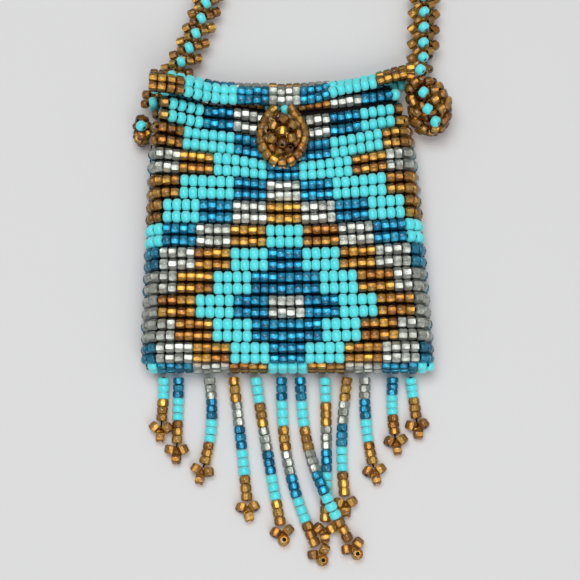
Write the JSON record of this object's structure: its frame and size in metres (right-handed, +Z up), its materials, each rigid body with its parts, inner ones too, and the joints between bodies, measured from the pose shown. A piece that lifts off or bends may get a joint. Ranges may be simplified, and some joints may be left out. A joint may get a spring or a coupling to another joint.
{
  "type": "beaded medicine bag",
  "caption": "Small flat pouch of glass seed beads in stepped diamonds, with a rolled flap, a bead button in its loop, a beaded fringe and a coiled bead-rope neck strap.",
  "frame": {"origin": "under the middle of the bag and its fringe, on the table it lies on", "axes": "+X across the bag to its right, +Y up the bag from the fringe to the mouth, +Z up out of its front"},
  "size_m": [0.0716, 0.1879, 0.0127],
  "materials": {
    "turquoise_glass": "opaque polished glass seed beads",
    "amber_glass": "silver-lined clear amber glass seed beads",
    "blue_glass": "silver-lined clear blue glass seed beads"
  },
  "bodies": {
    "root": {"front_panel": "turquoise_glass", "back_panel": "turquoise_glass", "flap": "turquoise_glass", "button": "amber_glass", "closure_loop": "amber_glass", "strap_end_left": "amber_glass", "strap_end_right": "amber_glass", "strap_left": "amber_glass", "strap_right": "amber_glass", "strap_coil": "amber_glass", "fringe_strand_01": "turquoise_glass", "fringe_strand_02": "turquoise_glass", "fringe_strand_03": "turquoise_glass", "fringe_strand_04": "blue_glass", "fringe_strand_05": "turquoise_glass", "fringe_strand_06": "turquoise_glass", "fringe_strand_07": "turquoise_glass", "fringe_strand_08": "blue_glass", "fringe_strand_09": "turquoise_glass", "fringe_strand_10": "blue_glass", "fringe_strand_11": "turquoise_glass", "fringe_strand_12": "turquoise_glass"}
  },
  "joints": []
}
